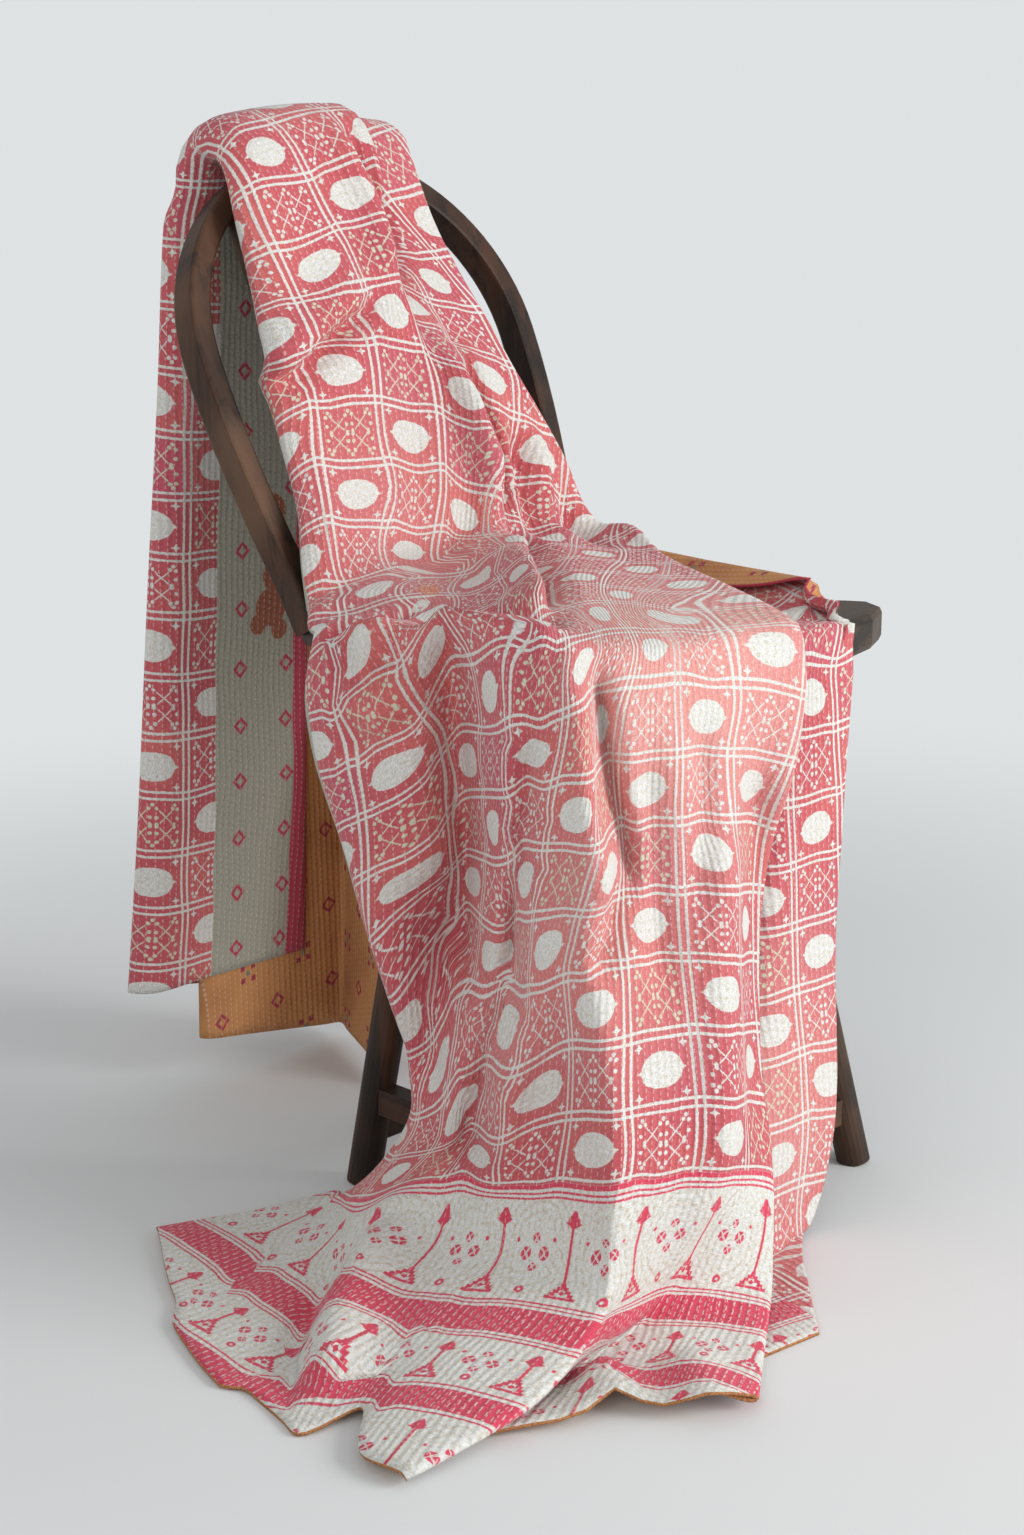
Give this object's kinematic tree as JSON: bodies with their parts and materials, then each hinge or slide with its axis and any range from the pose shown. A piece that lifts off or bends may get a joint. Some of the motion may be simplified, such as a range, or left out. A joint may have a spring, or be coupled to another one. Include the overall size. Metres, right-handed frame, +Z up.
{
  "type": "hand-stitched quilt draped over a hoop-back chair",
  "caption": "Long hand-stitched cotton quilt hung over a dark wooden hoop-back chair: folded over the bow, laid across the seat and spread out on the floor in front.",
  "frame": {"origin": "on the floor under the middle of the whole object's bounding box", "axes": "+Z up; the chair faces -Y; +X is the sitter's left"},
  "size_m": [0.6598, 0.757, 0.851],
  "materials": {
    "quilt_cloth": "matte printed cotton with running stitches",
    "dark_wood": "dark worn varnish",
    "seat_wood": "worn, dull"
  },
  "bodies": {
    "root": {"bow": "dark_wood", "leg_front_left": "dark_wood", "leg_front_right": "dark_wood", "leg_rear_left": "dark_wood", "leg_rear_right": "dark_wood", "quilt": "quilt_cloth", "seat": "seat_wood", "spindle_1": "dark_wood", "spindle_2": "dark_wood", "spindle_3": "dark_wood", "spindle_4": "dark_wood", "spindle_5": "dark_wood", "stretcher_front": "dark_wood", "stretcher_left": "dark_wood", "stretcher_rear": "dark_wood", "stretcher_right": "dark_wood"}
  },
  "joints": []
}
